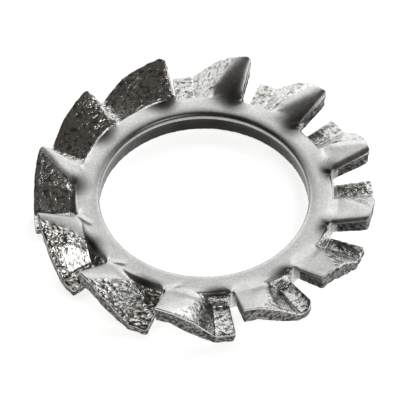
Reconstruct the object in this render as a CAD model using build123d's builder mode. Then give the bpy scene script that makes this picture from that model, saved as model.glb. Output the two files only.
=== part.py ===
from build123d import *
import math
import os

# Stock and outline, in millimetres
bore_diameter = 6.5
outer_diameter = 10.62
stock_thickness = 0.7
tooth_count = 12
die_roll = 0.09

# The sheared edge that the ring keeps between the teeth, and the slits that part them
shear_diameter = 8.06
shear_draft = 0.17
slit_width = 0.2
slit_root_diameter = 8.1
slit_root_width = 0.2

# The bend that lifts the teeth out of the flat ring
bend_diameter = 7.85
bend_radius = 1.0
crest_rise = 0.7
flap_set = 0.13

# The form coined across each tooth: a raised crest, a slope and a lowered flap
crest_width = 0.5
crest_thickness = 0.54
crest_rounding = 0.1
slope_bulge = 0.09
flap_width = 0.68
flap_fall = 0.5
flap_rounding = 0.06

# How far the tooth's profile runs past the bend that trims it
overrun = 0.05

# The washer stands on its lowered flaps, so the flat ring lies that much above the ground
ring_base = flap_set
ring_top = ring_base + stock_thickness
crest_top = ring_top + crest_rise
flap_top = ring_top - flap_fall
bore_wall = bore_diameter / 2
outer_wall = outer_diameter / 2
shear_wall = shear_diameter / 2
shear_ridge = shear_wall + shear_draft
bend_line = bend_diameter / 2
seat_plane = bore_wall + (bend_line - bore_wall) / 4
seat_base = ring_base + (stock_thickness - crest_thickness) / 2
half_pitch = 180 / tooth_count
rim_edge = outer_wall * math.tan(math.radians(half_pitch)) - slit_width / 2


def tooth_section(reach, crest_base):
    """Profile of a tooth on the plane at reach from the axis, with its crest on the -Y side.

    Its creases run straight out from the axis, so its widths shrink with reach.
    """
    share = reach / outer_wall
    edge = rim_edge * share
    crest_end = (crest_width - rim_edge) * share
    flap_start = (rim_edge - flap_width) * share
    slope_middle = (crest_end + flap_start) / 2
    slope_height = (crest_top + flap_top) / 2 + slope_bulge
    run_per_rise = (slope_middle - crest_end) / (crest_top - slope_height)
    with BuildSketch(Plane(origin=(reach, 0, 0), x_dir=(0, 1, 0), z_dir=(1, 0, 0))) as section:
        with BuildLine():
            Polyline(
                (-edge, crest_base),
                (-edge, crest_top - crest_rounding),
                (-edge + (crest_rounding + overrun) * share, crest_top + overrun),
                (crest_end - overrun * run_per_rise, crest_top + overrun),
                (slope_middle, slope_height),
                (flap_start, flap_top),
                (edge, flap_top),
                (edge, -overrun),
                (flap_start, -overrun),
                (flap_start, 0),
                (crest_end, crest_base),
                close=True,
            )
        make_face()
    return section.sketch


# One tooth: coined across its width, and trimmed to the bend that it leaves the ring by
with BuildPart() as tooth:
    loft([
        tooth_section(seat_plane, seat_base),
        tooth_section(outer_wall, crest_top - crest_thickness),
    ], ruled=True)
    with BuildSketch(Plane.XZ):
        with BuildLine():
            FilletPolyline(
                (0, ring_base),
                (bend_line, ring_base),
                (outer_wall, 0),
                (outer_wall, crest_top),
                (bend_line, ring_top),
                (0, ring_top),
                close=True,
                radius=[0, bend_radius, 0, crest_rounding, bend_radius, 0],
            )
        make_face()
    revolve(axis=Axis.Z, mode=Mode.INTERSECT)
    flap_corner = tooth.edges().filter_by(Axis.Z).sort_by(Axis.Y)[-1]
    fillet(flap_corner, flap_rounding)

# The washer: a flat ring with a die-rolled bore, a slit root between each two teeth, and the teeth
with BuildPart() as washer:
    with BuildSketch(Plane.XZ):
        with BuildLine():
            Polyline(
                (bore_wall, ring_base),
                (shear_wall, ring_base),
                (shear_ridge, flap_top),
                (shear_wall, ring_top),
                (bore_wall, ring_top),
                close=True,
            )
        make_face()
    revolve(axis=Axis.Z)
    bore_edges = washer.edges().filter_by(GeomType.CIRCLE).group_by(SortBy.RADIUS)[0]
    fillet(bore_edges.sort_by(Axis.Z)[-1], die_roll)
    with BuildSketch():
        with PolarLocations((slit_root_diameter + slit_root_width) / 2, tooth_count, start_angle=half_pitch):
            SlotCenterPoint((outer_wall - shear_wall, 0), (0, 0), slit_root_width)
    extrude(amount=crest_top, mode=Mode.SUBTRACT)
    with PolarLocations(0, tooth_count):
        add(tooth.part)

washer.part.label = "washer"
os.makedirs("parts", exist_ok=True)
export_step(washer.part, "parts/washer.step")
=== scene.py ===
import math

import bmesh
import bpy
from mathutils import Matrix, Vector, noise


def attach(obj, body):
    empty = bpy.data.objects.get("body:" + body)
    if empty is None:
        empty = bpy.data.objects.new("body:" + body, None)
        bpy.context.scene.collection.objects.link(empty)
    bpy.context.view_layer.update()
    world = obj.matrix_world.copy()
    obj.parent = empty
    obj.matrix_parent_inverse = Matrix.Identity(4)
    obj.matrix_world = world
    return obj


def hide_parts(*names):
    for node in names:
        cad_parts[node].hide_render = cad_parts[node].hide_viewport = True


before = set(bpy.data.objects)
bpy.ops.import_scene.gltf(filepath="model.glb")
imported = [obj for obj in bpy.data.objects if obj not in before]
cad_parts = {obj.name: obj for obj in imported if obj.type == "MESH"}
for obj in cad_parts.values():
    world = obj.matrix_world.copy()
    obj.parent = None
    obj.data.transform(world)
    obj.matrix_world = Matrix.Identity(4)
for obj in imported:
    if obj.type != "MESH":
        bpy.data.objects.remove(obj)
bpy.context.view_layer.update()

# The blank: a ring pierced and cut from hard spring strip, then tumbled until its flat
# faces are satin. The punch that went in from above has drawn the lip of the bore down,
# and left a narrow pale band and a dark torn band on the bore's wall.
MM = 0.001
BORE = 3.25
RIM = 5.31
RING_MIDDLE = 3.6
RING_BASE = 0.13
RING_TOP = 0.83
BORE_ROLL = 0.12


def rolled_lip(inset, radius):
    """How far a sheared edge is drawn down at a distance in from its wall."""
    left = min(max(radius - inset, 0.0), radius)
    return radius - math.sqrt(radius * radius - left * left)


# The teeth: the strip outside the ring is slit into a dozen tongues. A punch lifts one
# side of each tongue and coins the other down, so it leaves the ring along a soft bend,
# and falls in a rough slope from a smooth crest to a thin flat flap.
TOOTH_COUNT = 12
PITCH = math.radians(360 / TOOTH_COUNT)
FIRST_SLIT = math.radians(15)
SLIT_ROOT = 4.05
SLIT_HOLE = 0.1
SLIT_HALF_WIDTH = 0.075
SLIT_HALF_MOUTH = 0.11
BEND = 3.925
CREST_PITCH = 0.497
CREST_TOP = 1.51
CREST_END = -0.82
SLOPE_MIDDLE = -0.09
FLAP_START = 0.64
FLAP_TOP = 0.32
FLAP_CREASE = 0.05
STEP_TOP = 4.02
STEP_FALL = 3.0
STEP_CREASE = 0.06
SHOULDER_LENGTH = 0.3

# Each tooth came off the press a little different. The first is at two o'clock in the
# photo's view, and the others follow anticlockwise. Lengths are in millimetres:
#   lift, set                    how much higher its crest and its flap ended
#   turn                         turn of its creases, in degrees
#   crest_end, middle            end of the crest across the tooth, height half way down
#   follow                       how much of the crest's rise the slope takes part in
#   crease, shoulder             how round the creases below crest and ring are
#   crest_corner, flap_corner    rounding of the two corners at the rim
#   edge, drop                   how wide and deep the crest's cut side is drawn down
#   bend                         half the length of the bend
#   coarse, burnished            coarseness of the slope, and how much a patch of it lost
#   ragged, reach                tearing of the rim, and how far coining laps on the crest
#   crest_shade, fold            painted shade on the crest, height of the crease at the slit
USUAL = dict(lift=0.0, set=0.0, turn=0.0, crest_end=CREST_END, middle=1.03, follow=0.0,
             crease=0.2, shoulder=0.16, crest_corner=0.1, flap_corner=0.06, edge=0.2,
             drop=0.06, bend=0.36, coarse=0.25, burnished=0.0, ragged=0.02, reach=-0.01,
             crest_shade=0.0, fold=0.0)
TEETH = [
    dict(USUAL, set=0.02, crease=0.18, flap_corner=0.08, edge=0.22, drop=0.07, coarse=0.22,
         ragged=0.01),
    dict(USUAL, turn=0.5, crease=0.36, crest_corner=0.12, flap_corner=0.1, ragged=0.01),
    dict(USUAL, crease=0.34, crest_corner=0.22, edge=0.24, coarse=0.4),
    dict(USUAL, lift=-0.02, turn=3.0, crest_end=-1.5, middle=1.02, follow=0.7, crease=0.24,
         crest_corner=0.28, coarse=0.5, reach=0.25),
    dict(USUAL, lift=-0.02, crest_end=-1.25, middle=1.0, follow=0.8, crest_corner=0.26,
         edge=0.18, bend=0.3, coarse=0.5, reach=0.12),
    dict(USUAL, lift=-0.01, crest_end=-1.1, middle=0.96, follow=0.4, crease=0.14,
         crest_corner=0.24, edge=0.12, drop=0.04, bend=0.3, coarse=0.27, reach=0.02),
    dict(USUAL, crest_end=-1.15, middle=0.92, follow=0.45, crease=0.38, shoulder=0.42,
         edge=0.16, drop=0.05, bend=0.16, coarse=1.4, burnished=0.8, crest_shade=0.4, fold=0.03),
    dict(USUAL, crest_end=-1.0, middle=0.98, follow=0.3, crease=0.26, shoulder=0.42,
         crest_corner=0.08, flap_corner=0.08, edge=0.16, drop=0.05, bend=0.14, coarse=1.2,
         burnished=0.3, ragged=0.03, crest_shade=0.25, fold=0.035),
    dict(USUAL, lift=-0.01, set=0.06, middle=1.1, crease=0.34, shoulder=0.3,
         crest_corner=0.08, flap_corner=0.14, edge=0.14, drop=0.04, bend=0.16, coarse=0.35,
         fold=0.025),
    dict(USUAL, lift=-0.02, set=0.02, crease=0.24, crest_corner=0.06, flap_corner=0.42,
         edge=0.14, drop=0.05, bend=0.3, coarse=0.28),
    dict(USUAL, lift=-0.02, set=0.03, turn=0.5, flap_corner=0.14, bend=0.34, coarse=0.5,
         ragged=0.12, crest_shade=0.25),
    dict(USUAL, set=0.02, crease=0.1, crest_corner=0.08, flap_corner=0.08, drop=0.09,
         coarse=0.7, crest_shade=0.12),
]


def ramp(low, high, x):
    """0 below low, 1 above high, and a soft climb between them."""
    t = min(max((x - low) / (high - low), 0.0), 1.0)
    return t * t * (3 - 2 * t)


def soft_min(a, b, blend):
    """The lower of two heights, rounded where they cross."""
    h = min(max(0.5 + 0.5 * (b - a) / blend, 0.0), 1.0)
    return b + (a - b) * h - blend * h * (1 - h)


def soft_max(a, b, blend):
    return -soft_min(-a, -b, blend)


def slit_gap(r):
    """Half the slit's width: a small round hole at its root, then a narrow opening cut."""
    if r <= SLIT_ROOT:
        return 0.0
    opened = (r - SLIT_ROOT) / (RIM - SLIT_ROOT)
    mouth = SLIT_HALF_WIDTH + (SLIT_HALF_MOUTH - SLIT_HALF_WIDTH) * opened
    reach = r - SLIT_ROOT - SLIT_HOLE
    if reach < SLIT_HOLE:
        hole = math.sqrt(max(SLIT_HOLE ** 2 - reach ** 2, 0.0))
        return hole if reach < 0 else max(hole, mouth)
    return mouth


SAG_START = 3.65
SAG_DEPTH = 0.05
SAG_GROWS = (math.radians(13), math.radians(29))
RISE_FADES = (math.radians(6), math.radians(20))
RISE_FREE = 4.4


def crest_height(r, angle, tooth):
    """Top of the bent strip. It rises from the ring to the rim, and near the ring the rise
    dies away towards the flap's side, where the strip sags instead."""
    x, soft = r - BEND, tooth["bend"]
    if x < -soft:
        rise = 0.0
    elif x > soft:
        rise = x
    else:
        rise = (x + soft) ** 2 / (4 * soft)
    rise *= CREST_PITCH + tooth["lift"] / (RIM - BEND)
    near_ring = 1 - ramp(SLIT_ROOT, RISE_FREE, r)
    fade = ramp(*RISE_FADES, angle) * near_ring
    sag = SAG_DEPTH * max((r - SAG_START) / (SLIT_ROOT - SAG_START), 0.0) ** 2
    return RING_TOP + rise * (1 - fade) - sag * ramp(*SAG_GROWS, angle) * near_ring


def coined_height(r, angle, across, tooth):
    """Top of what the punch pressed down: the slope, the flap, and the ring's torn step."""
    flap, crest_end = FLAP_TOP + tooth["set"], tooth["crest_end"]
    start = CREST_TOP + (crest_height(r, 0.0, tooth) - CREST_TOP) * tooth["follow"]
    middle = flap + (tooth["middle"] - flap) * (start - flap) / (CREST_TOP - flap)
    past = across - SLOPE_MIDDLE
    if past < 0:
        slope = middle - past * (start - middle) / (SLOPE_MIDDLE - crest_end)
    else:
        slope = middle - past * (middle - flap) / (FLAP_START - SLOPE_MIDDLE)
    step = crest_height(STEP_TOP, angle, tooth) - (r - STEP_TOP) * STEP_FALL
    return soft_max(soft_max(slope, flap, FLAP_CREASE), step, STEP_CREASE)


FOLD_LENGTH = 0.68
FOLD_HALF_WIDTH = 0.06
FOLD_ASIDE, FOLD_INWARD = 0.8, 0.6
FOLD_TAPERS = (0.6, 1.0)


def fold_height(inward, aside, height):
    """A short curled crease that runs from the slit's root into the ring."""
    along = (FOLD_ASIDE * aside + FOLD_INWARD * inward) / FOLD_LENGTH
    along = min(max(along, 0.0), 1.0)
    off = math.hypot(aside - FOLD_ASIDE * FOLD_LENGTH * along,
                     inward - FOLD_INWARD * FOLD_LENGTH * along)
    ends = (1 - ramp(*FOLD_TAPERS, along)) * ramp(0.0, FOLD_HALF_WIDTH, aside)
    return height * math.exp(-(off / FOLD_HALF_WIDTH) ** 2) * ends


UNDERCUT_START = 3.42
UNDERCUT_BASE = 0.1
UNDERCUT_PITCH = 0.413
UNDERCUT_FULL = 4.2
UNDERCUT_CREASE = 0.05


def underside(r, across, tooth):
    """Bottom of the strip: flat under the ring, lifted under the crest, down under the flap."""
    out = max(r - BEND, 0.0) / (RIM - BEND)
    bed = RING_BASE - out * RING_BASE
    crest_base = UNDERCUT_BASE + (r - UNDERCUT_START) * UNDERCUT_PITCH
    crest_base += tooth["lift"] * (r - BEND) / (RIM - BEND)
    share = min(max((across - CREST_END) / (FLAP_START - CREST_END), 0.0), 1.0)
    lifted = soft_max(crest_base * (1 - share), bed, UNDERCUT_CREASE)
    return RING_BASE + (lifted - RING_BASE) * ramp(SLIT_ROOT, UNDERCUT_FULL, r)


PATCH_STARTS = (0.4, 0.52)
PATCH_ENDS = (0.74, 0.82)
PATCH_RIM = (4.95, 5.1)


def local_coarseness(share, r, tooth):
    """The coined slope is torn coarse, apart from a patch that the punch has burnished."""
    patch = ramp(*PATCH_STARTS, share) * (1 - ramp(*PATCH_ENDS, share))
    patch *= 1 - ramp(*PATCH_RIM, r)
    return tooth["coarse"] * (1 - tooth["burnished"] * patch)


# The mesh of one tooth with its share of the ring starts as a block cut into a grid,
# closer where a lip, a crease or a torn edge needs it, and is then pressed to shape.
# Places across are shares of the pitch, outward radii, upward shares of the thickness.
ACROSS = [0, 0.005, 0.013, 0.024, 0.038, 0.056, 0.08]
ACROSS += [0.08 + 0.84 * i / 36 for i in range(1, 37)]
ACROSS += [0.944, 0.962, 0.975, 0.985, 0.993, 1.0]
RIM_FELT_FROM = 4.3
RIM_BAND = 0.09
OUTWARD = [BORE, 3.256, 3.268, 3.288, 3.315, 3.35, 3.42, 3.5, 3.58, 3.66, 3.72, 3.77]
OUTWARD += [3.82, 3.86, 3.9, 3.94, 3.97, 4.0, 4.025, SLIT_ROOT, 4.06, 4.075, 4.095]
OUTWARD += [4.12, 4.145, 4.17, 4.2, 4.23, 4.265, RIM_FELT_FROM]
LAST_ROUND = len(OUTWARD) - 1
OUTWARD += [RIM_FELT_FROM + (RIM - RIM_BAND - RIM_FELT_FROM) * i / 22 for i in range(1, 23)]
OUTWARD += [5.255, 5.28, 5.298, RIM]
UPWARD = [0, 0.06, 0.15, 0.25, 0.35, 0.46, 0.57, 0.68, 0.78, 0.87, 0.94, 1.0]
ROOT_ROW = OUTWARD.index(SLIT_ROOT)
LAST_ACROSS = len(ACROSS) - 1
LAST_OUT = len(OUTWARD) - 1
LAST_UP = len(UPWARD) - 1

block = bmesh.new()
bmesh.ops.create_cube(block, size=1.0)
bmesh.ops.translate(block, verts=block.verts, vec=(0.5, 0.5, 0.5))
for axis, cuts in ((0, LAST_ACROSS - 1), (1, LAST_OUT - 1), (2, LAST_UP - 1)):
    along = []
    for edge in block.edges:
        run = edge.verts[0].co - edge.verts[1].co
        if abs(run[axis]) > 0.5 * run.length:
            along.append(edge)
    bmesh.ops.subdivide_edges(block, edges=along, cuts=cuts, use_grid_fill=True)


def grid_place(vert):
    """Which line across, outward and upward a point of the block is on."""
    x, y, z = vert.co
    return round(x * LAST_ACROSS), round(y * LAST_OUT), round(z * LAST_UP)


inside_ring = []
for face in block.faces:
    places = [grid_place(v) for v in face.verts]
    for side in (0, LAST_ACROSS):
        if all(p[0] == side and p[1] <= ROOT_ROW for p in places):
            inside_ring.append(face)
bmesh.ops.delete(block, geom=inside_ring, context="FACES_ONLY")
blank = bpy.data.meshes.new("tooth_blank")
block.to_mesh(blank)
block.free()

RAGGED_WIDTH, RAGGED_MEAN = 0.16, 0.1
ROOT_BLEND, ROOT_BLEND_GROWTH = 0.05, 1.2
COINED_FROM = 3.8
PRESSED_DEEP, PRESSED_LENGTH = 0.06, 0.1
COARSE_TEAR, COARSE_WIDTH = 0.03, 0.13
FINE_TEAR, FINE_WIDTH = 0.014, 0.07
RING_WAVE, WAVE_WIDTH = 0.004, 0.9
OUTER_LIP = 0.045
FLAP_LIP = 0.05
SMOOTH_BAND, BAND_EDGE = 0.24, 0.06
BAND_WANDER, WANDER_WIDTH = 0.05, 0.5
TORN_DEPTH, TORN_FLARE = 0.018, 0.012
TORN_GRIT, TORN_WIDTH, TORN_STREAK = 0.016, 0.09, 1.6
TORN_INTO, TORN_PAST_ROOT = 0.2, 0.25
BORE_TORN_SHARE, BORE_TORN_INTO = 0.6, 0.25


def grit(x, y, z, size):
    """Uneven tool marks about as wide as size, from -1 to 1. Another z gives other marks."""
    return noise.noise(Vector((x, y, z)) / size)


def press(vert, number):
    """Where one point of the block ends up on the tooth with this number."""
    i, j, k = grid_place(vert)
    tooth = TEETH[number]
    start = FIRST_SLIT + PITCH * number
    row = OUTWARD[j]
    gap = slit_gap(row) / row
    angle = gap + (PITCH - 2 * gap) * ACROSS[i]
    from_crest_side = (angle - gap) * row
    from_flap_side = (PITCH - gap - angle) * row

    rim = RIM - rolled_lip(from_crest_side, tooth["crest_corner"])
    rim -= rolled_lip(from_flap_side, tooth["flap_corner"])
    bite = grit(angle * RIM, number, 0.0, RAGGED_WIDTH) + RAGGED_MEAN
    rim -= tooth["ragged"] * max(bite, 0.0)
    r = row
    if j > LAST_ROUND:
        r = RIM_FELT_FROM + (row - RIM_FELT_FROM) * (rim - RIM_FELT_FROM) / (RIM - RIM_FELT_FROM)
    from_rim = rim - r

    across = math.tan(angle - PITCH / 2 - math.radians(tooth["turn"])) * RIM
    crest = crest_height(r, angle, tooth)
    from_slit = 1.0
    if j <= ROOT_ROW:
        nearest = min(from_crest_side, from_flap_side)
        from_slit = ramp(0.0, ROOT_BLEND + ROOT_BLEND_GROWTH * (SLIT_ROOT - r), nearest)
        crest = RING_TOP + (crest - RING_TOP) * from_slit
    coined = top = crest
    if r > COINED_FROM:
        coined = coined_height(r, angle, across, tooth)
        outer = ramp(STEP_TOP, STEP_TOP + SHOULDER_LENGTH, r)
        crease = tooth["shoulder"] + (tooth["crease"] - tooth["shoulder"]) * outer
        top = crest + (soft_min(crest, coined, crease) - crest) * from_slit
    top += fold_height(SLIT_ROOT - r, from_crest_side, tooth["fold"])
    base = underside(r, across, tooth)

    px, py = r * math.cos(start + angle), r * math.sin(start + angle)
    pressed = ramp(0.0, PRESSED_DEEP, crest - coined + tooth["reach"])
    pressed *= ramp(STEP_TOP, STEP_TOP + PRESSED_LENGTH, r) * from_slit
    tear = COARSE_TEAR * grit(px, py, number, COARSE_WIDTH)
    tear += FINE_TEAR * grit(px, py, number + 40, FINE_WIDTH)
    wave = RING_WAVE * grit(px, py, 3.0, WAVE_WIDTH)
    top += pressed * local_coarseness(ACROSS[i], r, tooth) * tear + (1 - pressed) * wave
    drop = rolled_lip(r - BORE, BORE_ROLL)
    if j >= ROOT_ROW:
        past_root = ramp(SLIT_ROOT, RIM_FELT_FROM, r)
        drawn = tooth["drop"] * max(1 - from_crest_side / tooth["edge"], 0.0) ** 2
        crest_side = (drawn + rolled_lip(from_crest_side, OUTER_LIP)) * past_root
        flap_side = rolled_lip(from_flap_side, FLAP_LIP) * past_root
        drop = max(drop, crest_side, flap_side, rolled_lip(from_rim, OUTER_LIP))
    z = base + (top - drop - base) * UPWARD[k]

    torn = 0.0
    if k < LAST_UP:
        band = SMOOTH_BAND + BAND_WANDER * grit(px, py, 9.0, WANDER_WIDTH)
        torn = ramp(band, band + BAND_EDGE, top - z)
    recess = TORN_DEPTH + TORN_FLARE * (1 - UPWARD[k])
    recess += TORN_GRIT * grit(px, py, z * TORN_STREAK + 20, TORN_WIDTH)
    recess *= torn
    if RING_MIDDLE < r and j < LAST_OUT:
        recess *= ramp(SLIT_ROOT, SLIT_ROOT + TORN_PAST_ROOT, r)
    if j >= ROOT_ROW:
        angle += recess * max(1 - from_crest_side / TORN_INTO, 0.0) / r
        angle -= recess * max(1 - from_flap_side / TORN_INTO, 0.0) / r
        r -= recess * max(1 - from_rim / TORN_INTO, 0.0)
    if r < RING_MIDDLE:
        r += BORE_TORN_SHARE * recess * max(1 - (r - BORE) / BORE_TORN_INTO, 0.0)
    turn = start + angle
    return Vector((r * math.cos(turn), r * math.sin(turn), max(z, 0.0))) * MM


# Where a surface was only rolled and tumbled, where the punch coined it, where the strip
# was sheared through, and where the bore was pierced: each keeps its own look. The upper
# band of a cut wall and the roots of the slits stay as smooth as the rolled faces.
ROLLED, COINED, SHEARED, PIERCED = 0, 1, 2, 3
SMOOTH_ROW = 10
BORE_SMOOTH_ROW = 9
SMOOTH_ROOT = 4.28
RING_KEPT = 3.97


def finish_of(places, number):
    """The finish of a face, from the places of its corners in the grid."""
    tooth = TEETH[number]
    i = sum(p[0] for p in places) / len(places)
    j = sum(p[1] for p in places) / len(places)
    lowest = min(p[2] for p in places)
    highest = max(p[2] for p in places)
    if lowest < LAST_UP and highest > 0:
        if j == 0:
            return PIERCED if lowest < BORE_SMOOTH_ROW else ROLLED
        at_root = i in (0, LAST_ACROSS) and OUTWARD[int(j)] < SMOOTH_ROOT
        return ROLLED if at_root or lowest >= SMOOTH_ROW else SHEARED
    low, high = int(j), min(int(j) + 1, LAST_OUT)
    r = OUTWARD[low] + (OUTWARD[high] - OUTWARD[low]) * (j - low)
    if r < RING_KEPT:
        return ROLLED
    left, right = int(i), min(int(i) + 1, LAST_ACROSS)
    share = ACROSS[left] + (ACROSS[right] - ACROSS[left]) * (i - left)
    across = math.tan(PITCH * (share - 0.5) - math.radians(tooth["turn"])) * RIM
    if lowest == LAST_UP:
        angle = PITCH * share
        pressed_by = crest_height(r, angle, tooth) - coined_height(r, angle, across, tooth)
        return COINED if pressed_by > -tooth["reach"] else ROLLED
    return COINED if across < FLAP_START and r > SLIT_ROOT else ROLLED


# Painted shade darkens the bends beside the slits, each at its angle in degrees and so many
# millimetres deep into the ring, and the lip round the bore and the bore's wall, most of all at the
# back.
SHADED_BENDS = [(16, 0.5), (48, 1.1), (80, 1.1), (112, 1.1), (146, 0.85), (178, 0.75),
                (213, 0.55), (246, 0.4), (279, 0.42), (311, 0.45), (344, 0.5)]
BEND_SHADE = 0.85
BEND_SHADE_CENTRE = SLIT_ROOT - 0.03
BEND_SHADE_HALF_WIDTH = 0.65
BEND_SHADE_FADES = (0.07, 1.0)
LIP_SHADE_LEAST, LIP_SHADE_GAIN = 0.1, 0.65
LIP_SHADE_GROWS = (-0.5, 0.8)
LIP_SHADE_FADES = (0.06, 0.4)
WALL_FACE = BORE + 0.05
WALL_TOP = 0.72
WALL_SMOOTH_BASE = 0.6
WALL_SMOOTH_SHADE = 0.3
WALL_SHADE = 0.8
WALL_SHADE_SIDE = (0.17, 0.98)
WALL_SHADE_GROWS = (0.3, 0.95)
# Painted shade on the crests grows outward across these radii.
CREST_SHADE_GROWS = (3.9, 4.2)
WELDED_WITHIN = 0.0005 * MM


def painted_shade_at(point):
    """How much painted shade darkens the ring at a point in millimetres, from 0 to 1."""
    r = point.xy.length
    # Painted shade on the bore's wall: a fixed share on its smooth upper band, more towards the back
    # below it.
    if r < WALL_FACE and point.z < WALL_TOP:
        back = (WALL_SHADE_SIDE[0] * point.x + WALL_SHADE_SIDE[1] * point.y) / r
        if point.z > WALL_SMOOTH_BASE:
            return WALL_SMOOTH_SHADE
        return WALL_SHADE * ramp(*WALL_SHADE_GROWS, back)
    # Painted shade along the bore's lip, strongest at the back.
    lip = LIP_SHADE_LEAST + LIP_SHADE_GAIN * ramp(*LIP_SHADE_GROWS, point.y / r)
    most = lip * (1 - ramp(*LIP_SHADE_FADES, r - BORE))
    # Painted shade in the bend beside each slit.
    for degrees, depth in SHADED_BENDS:
        aim = math.radians(degrees)
        inward = BEND_SHADE_CENTRE - (point.x * math.cos(aim) + point.y * math.sin(aim))
        aside = point.y * math.cos(aim) - point.x * math.sin(aim)
        away = math.hypot(inward / depth, aside / BEND_SHADE_HALF_WIDTH)
        most = max(most, BEND_SHADE * (1 - ramp(*BEND_SHADE_FADES, away)))
    return most


body = bmesh.new()
coarseness = body.verts.layers.float.new("coarseness")
painted_shade = body.verts.layers.float.new("painted_shade")
for number in range(TOOTH_COUNT):
    first_vert, first_face = len(body.verts), len(body.faces)
    body.from_mesh(blank)
    body.verts.ensure_lookup_table()
    body.faces.ensure_lookup_table()
    for face in body.faces[first_face:]:
        face.material_index = finish_of([grid_place(v) for v in face.verts], number)
        face.smooth = True
    for vert in body.verts[first_vert:]:
        i, j, k = grid_place(vert)
        vert.co = press(vert, number)
        vert[coarseness] = local_coarseness(ACROSS[i], OUTWARD[j], TEETH[number])
        # Painted shade: darkening in the bends, round the bore and on some crests; none on the slit
        # walls.
        crest_shade = TEETH[number]["crest_shade"] * ramp(*CREST_SHADE_GROWS, OUTWARD[j])
        on_slit_wall = i in (0, LAST_ACROSS) and j >= ROOT_ROW and k < SMOOTH_ROW
        vert[painted_shade] = 0.0 if on_slit_wall else max(painted_shade_at(vert.co / MM), crest_shade)
bpy.data.meshes.remove(blank)
bmesh.ops.remove_doubles(body, verts=body.verts, dist=WELDED_WITHIN)
bmesh.ops.recalc_face_normals(body, faces=body.faces)
mesh = bpy.data.meshes.new("lock_washer")
body.to_mesh(mesh)
body.free()
washer = bpy.data.objects.new("lock_washer", mesh)
bpy.context.scene.collection.objects.link(washer)
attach(washer, "root")
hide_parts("washer")


# The steel: hardened carbon spring steel, unplated. Tumbling leaves the rolled faces
# satin and pale, the coined slopes coarse and glittering, the sheared walls darker and
# torn, and the pierced wall of the bore dark and smeared.
def hex_colour(code):
    """sRGB hex to the linear colour that the shaders take."""
    parts = [int(code[i:i + 2], 16) / 255 for i in (1, 3, 5)]
    linear = [c / 12.92 if c <= 0.04045 else ((c + 0.055) / 1.055) ** 2.4 for c in parts]
    return (*linear, 1.0)


def add_node(tree, kind, values=None, links=None, **settings):
    node = tree.nodes.new("ShaderNode" + kind)
    for key, value in settings.items():
        setattr(node, key, value)
    for socket, value in (values or {}).items():
        node.inputs[socket].default_value = value
    for socket, source in (links or {}).items():
        tree.links.new(source, node.inputs[socket])
    return node


def new_material(name):
    material = bpy.data.materials.new(name)
    material.use_nodes = True
    material.node_tree.nodes.clear()
    return material, material.node_tree


def per_metre(size_mm):
    """Noise scale whose patches are about size_mm wide."""
    return 1000 / size_mm


tumbled, tree = new_material("tumbled_spring_steel")
place = add_node(tree, "TexCoord").outputs["Object"]
cloud = add_node(tree, "TexNoise", {"Scale": per_metre(0.6), "Detail": 4.0, "Roughness": 0.6},
                 {"Vector": place})
peen = add_node(tree, "TexNoise", {"Scale": per_metre(0.07), "Detail": 3.0, "Roughness": 0.6},
                {"Vector": place})
tone = add_node(tree, "ValToRGB", links={"Fac": cloud.outputs["Fac"]})
tone.color_ramp.elements[0].position = 0.3
tone.color_ramp.elements[0].color = hex_colour("#D2D3D2")
tone.color_ramp.elements[1].position = 0.7
tone.color_ramp.elements[1].color = hex_colour("#EDEEED")
grain = add_node(tree, "MapRange", {"From Min": 0.3, "From Max": 0.7, "To Min": 0.72, "To Max": 1.0},
                 {"Value": peen.outputs["Fac"]})
grained = add_node(tree, "Mix", {0: 1.0}, {6: tone.outputs["Color"], 7: grain.outputs["Result"]},
                   data_type="RGBA", blend_type="MULTIPLY")
# Painted shade: the colour darkens towards #33312F as the painted shade share grows.
painted_shade_share = add_node(tree, "Attribute", attribute_name="painted_shade").outputs["Fac"]
painted_shade_colour = add_node(tree, "Mix", {7: hex_colour("#33312F")},
                  {0: painted_shade_share, 6: grained.outputs[2]}, data_type="RGBA")
sheen = add_node(tree, "MapRange", {"From Min": 0.3, "From Max": 0.7, "To Min": 0.27, "To Max": 0.37},
                 {"Value": cloud.outputs["Fac"]})
bump = add_node(tree, "Bump", {"Strength": 0.6, "Distance": 0.004 * MM},
                {"Height": peen.outputs["Fac"]})
steel = add_node(tree, "BsdfPrincipled", {"Metallic": 1.0},
                 {"Base Color": painted_shade_colour.outputs[2], "Roughness": sheen.outputs["Result"],
                  "Normal": bump.outputs["Normal"]})
add_node(tree, "OutputMaterial", links={"Surface": steel.outputs["BSDF"]})

coined, tree = new_material("coined_spring_steel")
place = add_node(tree, "TexCoord").outputs["Object"]
coarse = add_node(tree, "Attribute", attribute_name="coarseness").outputs["Fac"]
tear = add_node(tree, "TexNoise", {"Scale": per_metre(0.13), "Detail": 2.0, "Roughness": 0.6},
                {"Vector": place})
pits = add_node(tree, "TexVoronoi", {"Scale": per_metre(0.15), "Randomness": 1.0},
                {"Vector": place})
lumps = add_node(tree, "MapRange", {"From Max": 0.7, "To Min": 0.72, "To Max": 0.3},
                 {"Value": pits.outputs["Distance"]})
torn_share = add_node(tree, "MapRange", {"From Min": 0.75, "From Max": 1.1, "To Max": 0.8},
                      {"Value": coarse})
relief = add_node(tree, "Mix", links={0: torn_share.outputs["Result"], 2: tear.outputs["Fac"],
                                      3: lumps.outputs["Result"]})
tone = add_node(tree, "ValToRGB", links={"Fac": relief.outputs[0]})
tone.color_ramp.elements[0].position = 0.36
tone.color_ramp.elements[0].color = hex_colour("#8C8883")
tone.color_ramp.elements[1].position = 0.5
tone.color_ramp.elements[1].color = hex_colour("#D8D9D7")
bump = add_node(tree, "Bump", {"Distance": 0.06 * MM},
                {"Strength": coarse, "Height": relief.outputs[0]})
steel = add_node(tree, "BsdfPrincipled", {"Metallic": 1.0, "Roughness": 0.2},
                 {"Base Color": tone.outputs["Color"], "Normal": bump.outputs["Normal"]})
add_node(tree, "OutputMaterial", links={"Surface": steel.outputs["BSDF"]})

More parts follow.
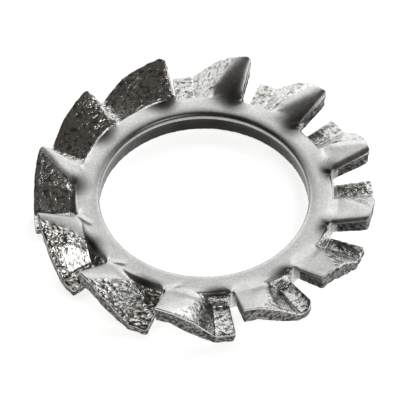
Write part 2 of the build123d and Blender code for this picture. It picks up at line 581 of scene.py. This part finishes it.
sheared, tree = new_material("sheared_spring_steel")
place = add_node(tree, "TexCoord").outputs["Object"]
tear = add_node(tree, "TexNoise", {"Scale": per_metre(0.12), "Detail": 3.0, "Roughness": 0.6},
                {"Vector": place})
tone = add_node(tree, "ValToRGB", links={"Fac": tear.outputs["Fac"]})
tone.color_ramp.elements[0].position = 0.42
tone.color_ramp.elements[0].color = hex_colour("#3E3C3A")
tone.color_ramp.elements[1].position = 0.7
tone.color_ramp.elements[1].color = hex_colour("#B5B3AF")
bump = add_node(tree, "Bump", {"Strength": 0.7, "Distance": 0.03 * MM},
                {"Height": tear.outputs["Fac"]})
steel = add_node(tree, "BsdfPrincipled", {"Metallic": 1.0, "Roughness": 0.55},
                 {"Base Color": tone.outputs["Color"], "Normal": bump.outputs["Normal"]})
add_node(tree, "OutputMaterial", links={"Surface": steel.outputs["BSDF"]})

pierced, tree = new_material("pierced_spring_steel")
place = add_node(tree, "TexCoord").outputs["Object"]
smear = add_node(tree, "TexNoise", {"Scale": per_metre(0.8), "Detail": 3.0, "Roughness": 0.6},
                 {"Vector": place})
tone = add_node(tree, "ValToRGB", links={"Fac": smear.outputs["Fac"]})
tone.color_ramp.elements[0].position = 0.35
tone.color_ramp.elements[0].color = hex_colour("#464441")
tone.color_ramp.elements[1].position = 0.65
tone.color_ramp.elements[1].color = hex_colour("#605E5B")
# Painted shade: the bore's wall darkens towards #1A1918, most of all at the back.
painted_shade_share = add_node(tree, "Attribute", attribute_name="painted_shade").outputs["Fac"]
painted_shade_colour = add_node(tree, "Mix", {7: hex_colour("#1A1918")},
                  {0: painted_shade_share, 6: tone.outputs["Color"]}, data_type="RGBA")
bump = add_node(tree, "Bump", {"Strength": 0.3, "Distance": 0.01 * MM},
                {"Height": smear.outputs["Fac"]})
steel = add_node(tree, "BsdfPrincipled", {"Metallic": 1.0, "Roughness": 0.3},
                 {"Base Color": painted_shade_colour.outputs[2], "Normal": bump.outputs["Normal"]})
add_node(tree, "OutputMaterial", links={"Surface": steel.outputs["BSDF"]})

for material in (tumbled, coined, sheared, pierced):
    washer.data.materials.append(material)

# The table: a sheet of white paper that fills the view. It glows a little in what the
# lens and the metal see, so it is white there while the washer's shadow stays on it.
PAPER_HALF_WIDTH = 0.4

paper = bmesh.new()
bmesh.ops.create_grid(paper, x_segments=1, y_segments=1, size=PAPER_HALF_WIDTH)
bmesh.ops.recalc_face_normals(paper, faces=paper.faces)
paper_mesh = bpy.data.meshes.new("paper")
paper.to_mesh(paper_mesh)
paper.free()
table = bpy.data.objects.new("paper", paper_mesh)
bpy.context.scene.collection.objects.link(table)
white_paper, tree = new_material("white_paper")
matt = add_node(tree, "BsdfDiffuse", {"Color": hex_colour("#E6E6E6")})
glow = add_node(tree, "Emission", {"Strength": 0.75})
both = add_node(tree, "AddShader", links={0: matt.outputs["BSDF"], 1: glow.outputs["Emission"]})
ray = add_node(tree, "LightPath")
seen = add_node(tree, "Math", operation="MAXIMUM",
                links={0: ray.outputs["Is Camera Ray"], 1: ray.outputs["Is Glossy Ray"]})
through = add_node(tree, "Math", operation="MAXIMUM",
                   links={0: seen.outputs["Value"], 1: ray.outputs["Is Transmission Ray"]})
choice = add_node(tree, "MixShader", links={0: through.outputs["Value"],
                                            1: matt.outputs["BSDF"], 2: both.outputs["Shader"]})
add_node(tree, "OutputMaterial", links={"Surface": choice.outputs["Shader"]})
table.data.materials.append(white_paper)

# The light: three wide soft boxes side by side behind the washer and a small strong one
# at its front right, in a dim warm room, so what faces left or the lens stays dark.
LAMP_DISTANCE = 0.12

world = bpy.data.worlds.new("dim_room")
bpy.context.scene.world = world
world.use_nodes = True
room = world.node_tree.nodes["Background"]
room.inputs["Color"].default_value = hex_colour("#FFF3E6")
room.inputs["Strength"].default_value = 0.075


def towards(azimuth, elevation):
    """The direction from the washer to a lamp or the lens; azimuth 0 is straight in front."""
    a, e = math.radians(azimuth), math.radians(elevation)
    return Vector((math.cos(e) * math.sin(a), -math.cos(e) * math.cos(a), math.sin(e)))


def soft_box(name, azimuth, elevation, width, height, brightness):
    """A flat lamp that faces the washer; brightness 1 looks white in a mirror."""
    lamp = bpy.data.lights.new(name, "AREA")
    lamp.shape = "RECTANGLE"
    lamp.size = width
    lamp.size_y = height
    lamp.energy = brightness * math.pi * width * height
    box = bpy.data.objects.new(name, lamp)
    aim = towards(azimuth, elevation)
    box.location = aim * LAMP_DISTANCE
    box.rotation_euler = aim.to_track_quat("Z", "Y").to_euler()
    bpy.context.scene.collection.objects.link(box)


soft_box("back_box", azimuth=180, elevation=29, width=0.14, height=0.125, brightness=1.15)
soft_box("back_right_box", azimuth=126, elevation=24, width=0.107, height=0.105, brightness=1.1)
soft_box("back_left_box", azimuth=228, elevation=26, width=0.083, height=0.11, brightness=0.95)
soft_box("right_box", azimuth=50, elevation=50, width=0.055, height=0.055, brightness=3.0)

# The camera: a long lens that looks down at the washer from the front. Its picture is
# 400 pixels wide, and the washer stands a little off the middle of it.
PICTURE = 400
FOCAL_LENGTH_PIXELS = 6258
OFF_MIDDLE_PIXELS = (-4.05, 8.4)
LENS_DISTANCE = 0.195

camera = bpy.data.objects.new("camera", bpy.data.cameras.new("camera"))
bpy.context.scene.collection.objects.link(camera)
away = towards(azimuth=3, elevation=50.15)
camera.location = Vector((0, 0, RING_BASE * MM)) + away * LENS_DISTANCE
camera.rotation_euler = away.to_track_quat("Z", "Y").to_euler()
camera.data.sensor_width = 36
camera.data.lens = camera.data.sensor_width * FOCAL_LENGTH_PIXELS / PICTURE
camera.data.shift_x = OFF_MIDDLE_PIXELS[0] / PICTURE
camera.data.shift_y = OFF_MIDDLE_PIXELS[1] / PICTURE
camera.data.clip_start = 0.01
bpy.context.scene.camera = camera
bpy.context.scene.view_settings.view_transform = "Standard"
